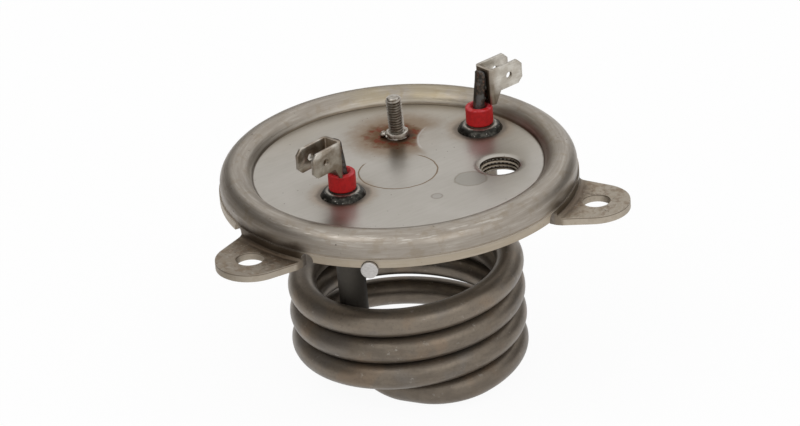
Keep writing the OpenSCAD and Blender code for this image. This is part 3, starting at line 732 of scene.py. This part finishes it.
class HEATER_OT_terminals(bpy.types.Operator):
    """Finish the insulators, the pins and the folded tabs"""

    bl_idname = "heater.terminals"
    bl_label = "Terminals"

    def execute(self, context):
        colors = context.scene.heater_finish
        dress(self.insulator(colors), *(f"insulator_bead_{side}" for side in SIDES))
        scorched, plate = self.scorched(), self.plate(colors)
        for side in SIDES:
            tab = f"tab_terminal_{side}"
            add_piece(f"sheared_tab_{side}", rounded(tab, 40, 0.07, 2, clamp=True), plate, "tab_steel", tab)
            add_piece(f"welded_pin_{side}", self.pin(side), scorched, "pin_steel", f"terminal_pin_{side}",
                      smooth_angle=50.0)
        return {"FINISHED"}

    def pin(self, side):
        """Pin with the burnt spatter of its weld against the tab."""
        bm = node_copy(f"terminal_pin_{side}", whole_faces=True)
        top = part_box(f"terminal_pin_{side}")[1].z / MM
        toward = self.toward(side)
        # Rings of vertices, where the pin can bend
        for height in range(3, 15):
            bmesh.ops.bisect_plane(bm, geom=bm.verts[:] + bm.edges[:] + bm.faces[:], plane_co=(0, 0, height),
                                   plane_no=(0, 0, 1))
        # The weld squeezed the pin's upper end flat against the web
        web = 1.85
        for vert in bm.verts:
            squeeze = smooth(vert.co.z, 4.5, 12.5)
            offset = vert.co.xy - TERMINALS[side]
            ahead = offset.dot(toward)
            tip = min(max((vert.co.z - 10) / 4.5, 0), 1)
            vert.co.xy += toward * (web - ahead) * (0.38 * squeeze + 0.2 * tip)
            vert.co.xy += (offset - toward * ahead) * 0.1 * squeeze
            vert.co.z += 0.9 * squeeze
        spatter = []
        for seed, (out, sideways, down, size) in enumerate((
            (1.45, 1.15, 2.0, 0.3), (1.5, -1.2, 3.4, 0.36), (1.4, 1.05, 5.1, 0.38), (1.3, -1.0, 6.2, 0.3),
            (1.2, 0.2, 7.4, 0.55),
        )):
            place = TERMINALS[side] + toward * out + toward.orthogonal() * sideways
            spatter.append(lump((*place, top - down), (size, size, size * 1.5), seed * 3.1))
        return joined(bm, *spatter)

    def toward(self, side):
        """Direction in plan from a pin to its tab."""
        return (middle(f"tab_terminal_{side}") - TERMINALS[side]).normalized()

    def insulator(self, colors):
        s = Shader("red_insulator", colors.insulator)
        grain = s.noise(s.mm, 1.0, 4)
        rim = s.step(s.z, 5.75, 6.15)
        s.paint(s.step(grain, 0.42, 0.62) * 0.55, 150, 14, 18)
        # Painted highlight: a patchy pink sheen on the top rim
        s.paint(rim * s.step(s.noise(s.mm, 1.0, 3), 0.44, 0.6) * 0.5, 206, 84, 92)
        s.paint(s.step(s.z, 2.1, 1.65) * 0.6, 92, 14, 16)
        return s.finish(0.42 + 0.2 * grain, grain * 0.06, **{"Specular IOR Level": 0.35})

    def scorched(self):
        s = Shader("scorched_pin", srgb(66, 61, 56))
        burnt = s.noise(s.mm, 1.2, 5, 0.65)
        s.paint(s.step(burnt, 0.48, 0.62) * 0.7, 122, 100, 84)
        s.paint(s.step(s.noise(s.mm, 0.4, 4), 0.5, 0.6) * 0.7, 104, 106, 106)
        s.paint(s.step(s.noise(s.mm, 0.9, 3), 0.62, 0.68) * 0.6, 112, 62, 54)
        return s.finish(0.42 + 0.2 * burnt, burnt * 0.2, 0.4, Metallic=0.8)

    def plate(self, colors):
        s = Shader("tab_plate", colors.tab)
        cloud = s.noise(s.mm, 0.3, 4)
        rolled = s.noise(s.combine(s.x * 0.5, s.y * 0.5, s.z * 4.5), 1.0, 3)
        s.paint(s.step(cloud, 0.42, 0.6) * 0.5, 160, 150, 136)
        s.paint(s.step(rolled, 0.5, 0.65) * 0.25, 142, 134, 122)
        # The weld burnt the back of each web, and browned the tongue
        ragged = (s.noise(s.mm, 0.9, 4) - 0.5) * 1.2
        for side, place in TERMINALS.items():
            toward = self.toward(side)
            ahead, across = s.along(place, toward), s.along(place, toward.orthogonal())
            near = s.step(s.reach(*place), 14.0, 13.0)
            burnt = s.step(ahead, 2.05, 1.9) * s.step(abs(across) + ragged * 0.2, 2.5, 2.3) * near
            s.paint(burnt * 0.92, 82, 76, 68)
            s.paint(s.step(ahead + ragged, 4.4, 2.6) * near * 0.5, 128, 112, 94)
        s.paint(s.step(s.z, 9.6, 8.2) * 0.4, 120, 106, 92)
        # One tab ran hotter and browned all over
        brown = s.step(s.reach(*TERMINALS["inner"]), 14.0, 13.0) * s.step(cloud, 0.3, 0.6)
        s.paint(brown * 0.6, 134, 116, 96)
        return s.finish(0.3 + 0.14 * cloud, rolled * 0.04, Metallic=1.0)


# ---------------------------------------------------------------- stud and locating pin
class HEATER_OT_stud(bpy.types.Operator):
    """Roll the stud's thread, weld its foot and dress the locating pin"""

    bl_idname = "heater.stud"
    bl_label = "Stud and locating pin"

    def execute(self, context):
        scene = context.scene
        along, height = self.axis()
        add_piece("earth_stud", moved(self.stud(height, scene.heater_thread), along),
                  self.steel(scene.heater_finish), "stud_steel", "threaded_stud")
        add_piece("cropped_pin", rounded("locating_pin", 60, 0.22, 3), self.cropped(), "key_steel",
                  "locating_pin", smooth_angle=30.0)
        return {"FINISHED"}

    def axis(self):
        """Matrix that stands a piece on the stud's leaning axis, and the stud's height."""
        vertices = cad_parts["threaded_stud"].data.vertices
        places = {tuple(round(c / MM, 3) for c in v.co) for v in vertices}
        low, high = min(p[2] for p in places), max(p[2] for p in places)
        foot, tip = (sum((Vector(p) for p in ring), Vector()) / len(ring) for ring in (
            [p for p in places if p[2] < low + 0.25], [p for p in places if p[2] > high - 0.12]))
        lean = Vector((0, 0, 1)).rotation_difference(tip - foot).to_matrix().to_4x4()
        return Matrix.Translation(foot) @ lean, (tip - foot).length

    def stud(self, height, sizes):
        crest, foot = 2.0, 1.3
        pitch = sizes.stud_pitch / MM
        thread = screw_thread(crest, crest - 0.61 * pitch, pitch, foot - 0.6, height, sizes.steps)
        tip = crest - 0.55
        limit_radius(thread, lambda z: 0.0, lambda z: tip + (height - z))
        rims = [e for e in thread.edges if e.is_boundary]
        bmesh.ops.holes_fill(thread, edges=rims)
        ring = lathe([(1.2, 0.03), (1.2, 0.75), (1.75, 0.8), (2.1, foot), (2.5, foot + 0.02),
                      (2.78, foot - 0.14), (2.9, 0.8), (2.92, 0.45), (3.02, 0.18), (3.08, 0.03)], 72)
        for vert in ring.verts:
            ripple = noise.noise(Vector((vert.co.x, vert.co.y, 3.0)) * 0.8)
            vert.co.xy *= 1 + 0.03 * ripple
        nugget = lump((-3.3, 0.6, 0.6), (0.9, 0.8, 0.8), 4.0)
        drop = lump((-2.7, -0.6, 0.3), (0.6, 0.5, 0.5), 9.0)
        return joined(thread, ring, nugget, drop)

    def steel(self, colors):
        s = Shader("rolled_thread", colors.steel)
        stain = s.noise(s.mm, 0.9, 4, 0.6)
        away = s.reach(*STUD)
        s.paint(s.step(stain, 0.42, 0.62) * 0.6, 126, 113, 98)
        # Darker in the roots, and weld scale low on the foot
        thread = s.step(s.z, 1.4, 1.8) * s.step(s.z, 10.3, 9.9)
        core = s.step(away, 1.98, 1.75) * thread
        s.paint(core * 0.35, 98, 84, 68)
        # Painted shade down the side of the thread that faces front-left
        shaded_side = s.along(STUD, Vector((-0.58, -0.816))) / away
        s.paint(s.step(shaded_side, 0.84, 0.97) * thread * 0.3, 84, 69, 54)
        low = s.step(s.z, 1.0, 0.4) * s.step(stain, 0.36, 0.55)
        s.paint(low * 0.75, 74, 60, 48)
        return s.finish(0.28 + 0.12 * stain, stain * 0.06, Metallic=1.0)

    def cropped(self):
        s = Shader("cropped_pin", srgb(196, 193, 190))
        cut = s.noise(s.combine(s.x, s.y, s.z * 3.0), 1.6, 4, 0.6)
        s.paint(s.step(cut, 0.42, 0.64) * 0.6, 174, 171, 167)
        edge = s.step(s.radius, 44.9, 44.5)
        s.paint(edge * 0.7, 112, 100, 86)
        return s.finish(0.45, cut * 0.1, 0.35, Metallic=0.9)


# ---------------------------------------------------------------- studio
class HEATER_OT_studio(bpy.types.Operator):
    """Set the camera, the floor, the cards and the soft light"""

    bl_idname = "heater.studio"
    bl_label = "Studio"

    def execute(self, context):
        settings = context.scene.heater_studio
        self.camera(context, settings)
        self.floor()
        self.world(context)
        target = Vector((0, 0, -20)) * MM
        for name, place, width, height, share in (
            ("left_softbox", (-0.99, -0.46, 1.56), 0.9, 0.7, 1.1),
            ("front_softbox", (0.5, -1.7, 1.1), 1.4, 0.8, 0.6),
        ):
            self.softbox(name, Vector(place), target, width, height, settings.lamps * share)
        for name, place, width, height, grey in (
            ("left_card", (-0.384, 0.171, 0.18), 0.86, 0.4, 0.17),
            ("left_low_card", (-0.36, 0.16, 0.0), 0.8, 0.1, 0.42),
            ("right_card", (0.5, 0.16, 0.06), 0.5, 0.3, 0.16),
            ("back_card", (-0.1, 0.75, 0.12), 0.9, 0.3, 0.28),
        ):
            self.card(name, self.aimed(Vector(place), target), width, height, grey)
        for name, x, y, width, depth, grey in (
            ("left_floor_card", -0.24, 0.07, 0.24, 0.5, 0.38),
            ("right_floor_card", 0.33, 0.11, 0.22, 0.2, 0.45),
        ):
            self.card(name, Matrix.Translation((x, y, FLOOR_Z + 0.0005)), width, depth, grey)
        return {"FINISHED"}

    def camera(self, context, settings):
        """Camera whose picture's middle lies beside and below the flange's middle."""
        azimuth, elevation = settings.azimuth, settings.elevation
        ahead = Vector((math.sin(azimuth) * math.cos(elevation), math.cos(azimuth) * math.cos(elevation),
                        -math.sin(elevation)))
        level = Vector((math.cos(azimuth), -math.sin(azimuth), 0))
        upright = level.cross(ahead)
        roll = settings.roll
        right = level * math.cos(roll) + upright * math.sin(roll)
        up = upright * math.cos(roll) - level * math.sin(roll)
        eye = right * settings.across - up * settings.down - ahead * settings.distance
        lens = bpy.data.cameras.new("camera")
        lens.lens, lens.sensor_width, lens.sensor_fit = settings.lens, 36, "HORIZONTAL"
        lens.clip_start, lens.clip_end = 0.1, 20
        camera = placed("camera", lens)
        camera.matrix_world = Matrix.Translation(eye) @ Matrix((right, up, -ahead)).transposed().to_4x4()
        context.scene.camera = camera

    def softbox(self, name, place, target, width, height, radiance):
        lamp = bpy.data.lights.new(name, "AREA")
        lamp.shape, lamp.size, lamp.size_y = "RECTANGLE", width, height
        lamp.energy = radiance * math.pi * width * height
        placed(name, lamp).matrix_world = self.aimed(place, target)

    def aimed(self, place, target):
        return Matrix.Translation(place) @ (target - place).to_track_quat("-Z", "Y").to_matrix().to_4x4()

    def plane(self, name, matrix, width, height, material):
        bm = bmesh.new()
        bmesh.ops.create_grid(bm, x_segments=1, y_segments=1, size=0.5)
        bmesh.ops.scale(bm, vec=(width, height, 1), verts=bm.verts)
        bmesh.ops.transform(bm, matrix=matrix, verts=bm.verts)
        mesh = as_mesh(name, bm)
        mesh.materials.append(material)
        plane = placed(name, mesh)
        return plane

    def card(self, name, matrix, width, height, grey):
        """Grey card that only the metal's reflections see."""
        material = bpy.data.materials.new(name)
        tree = blank_tree(material)
        paint = tree.nodes.new("ShaderNodeEmission")
        paint.inputs["Color"].default_value = (grey, grey * 0.95, grey * 0.9, 1)
        out = tree.nodes.new("ShaderNodeOutputMaterial")
        tree.links.new(paint.outputs[0], out.inputs["Surface"])
        card = self.plane(name, matrix, width, height, material)
        card.visible_camera = card.visible_shadow = card.visible_diffuse = card.visible_transmission = False

    def shown(self, tree, elsewhere, shown):
        """The shown shader to the camera, gloss and glass, and the other to diffuse light."""
        path = tree.nodes.new("ShaderNodeLightPath")
        total = path.outputs["Is Camera Ray"]
        for name in ("Is Glossy Ray", "Is Transmission Ray"):
            add = tree.nodes.new("ShaderNodeMath")
            add.operation, add.use_clamp = "ADD", True
            tree.links.new(total, add.inputs[0])
            tree.links.new(path.outputs[name], add.inputs[1])
            total = add.outputs[0]
        mix = tree.nodes.new("ShaderNodeMixShader")
        for link, socket in zip((total, elsewhere, shown), mix.inputs):
            tree.links.new(link, socket)
        return mix.outputs[0]

    def floor(self):
        material = bpy.data.materials.new("white_floor")
        tree = blank_tree(material)
        paper = tree.nodes.new("ShaderNodeBsdfDiffuse")
        paper.inputs["Color"].default_value = (0.9, 0.9, 0.9, 1)
        glow = tree.nodes.new("ShaderNodeEmission")
        part = tree.nodes.new("ShaderNodeMixShader")
        part.inputs[0].default_value = 0.94
        tree.links.new(paper.outputs[0], part.inputs[1])
        tree.links.new(glow.outputs[0], part.inputs[2])
        out = tree.nodes.new("ShaderNodeOutputMaterial")
        tree.links.new(self.shown(tree, paper.outputs[0], part.outputs[0]), out.inputs["Surface"])
        self.plane("white_floor", Matrix.Translation((0, 0, FLOOR_Z)), 12, 12, material)

    def world(self, context):
        world = bpy.data.worlds.new("studio")
        tree = blank_tree(world)
        dim, white = (tree.nodes.new("ShaderNodeBackground") for _ in range(2))
        dim.inputs["Color"].default_value = (0.85, 0.85, 0.85, 1)
        white.inputs["Color"].default_value = (1, 1, 1, 1)
        out = tree.nodes.new("ShaderNodeOutputWorld")
        tree.links.new(self.shown(tree, dim.outputs[0], white.outputs[0]), out.inputs["Surface"])
        context.scene.world = world
        context.scene.view_settings.view_transform = "Standard"


class HEATER_PT_panel(bpy.types.Panel):
    """Colours, sizes and steps of the heating element"""

    bl_label = "Heating element"
    bl_space_type = "VIEW_3D"
    bl_region_type = "UI"
    bl_category = "Heater"

    def draw(self, context):
        for group in GROUPS:
            box = self.layout.box()
            settings = getattr(context.scene, group)
            for name in settings.__annotations__:
                box.prop(settings, name)
        for step in STEPS:
            self.layout.operator(step.bl_idname)


GROUPS = {"heater_finish": FinishSettings, "heater_thread": ThreadSettings, "heater_studio": StudioSettings}
STEPS = (HEATER_OT_flange, HEATER_OT_sheath, HEATER_OT_collars, HEATER_OT_terminals, HEATER_OT_stud,
         HEATER_OT_studio)
CLASSES = (*GROUPS.values(), *STEPS, HEATER_PT_panel)


def register():
    for cls in CLASSES:
        bpy.utils.register_class(cls)
    for name, settings in GROUPS.items():
        setattr(bpy.types.Scene, name, PointerProperty(type=settings))


def unregister():
    for name in GROUPS:
        delattr(bpy.types.Scene, name)
    for cls in reversed(CLASSES):
        bpy.utils.unregister_class(cls)


def main():
    register()
    for step in STEPS:
        group, name = step.bl_idname.split(".")
        getattr(getattr(bpy.ops, group), name)()


if __name__ == "__main__":
    main()
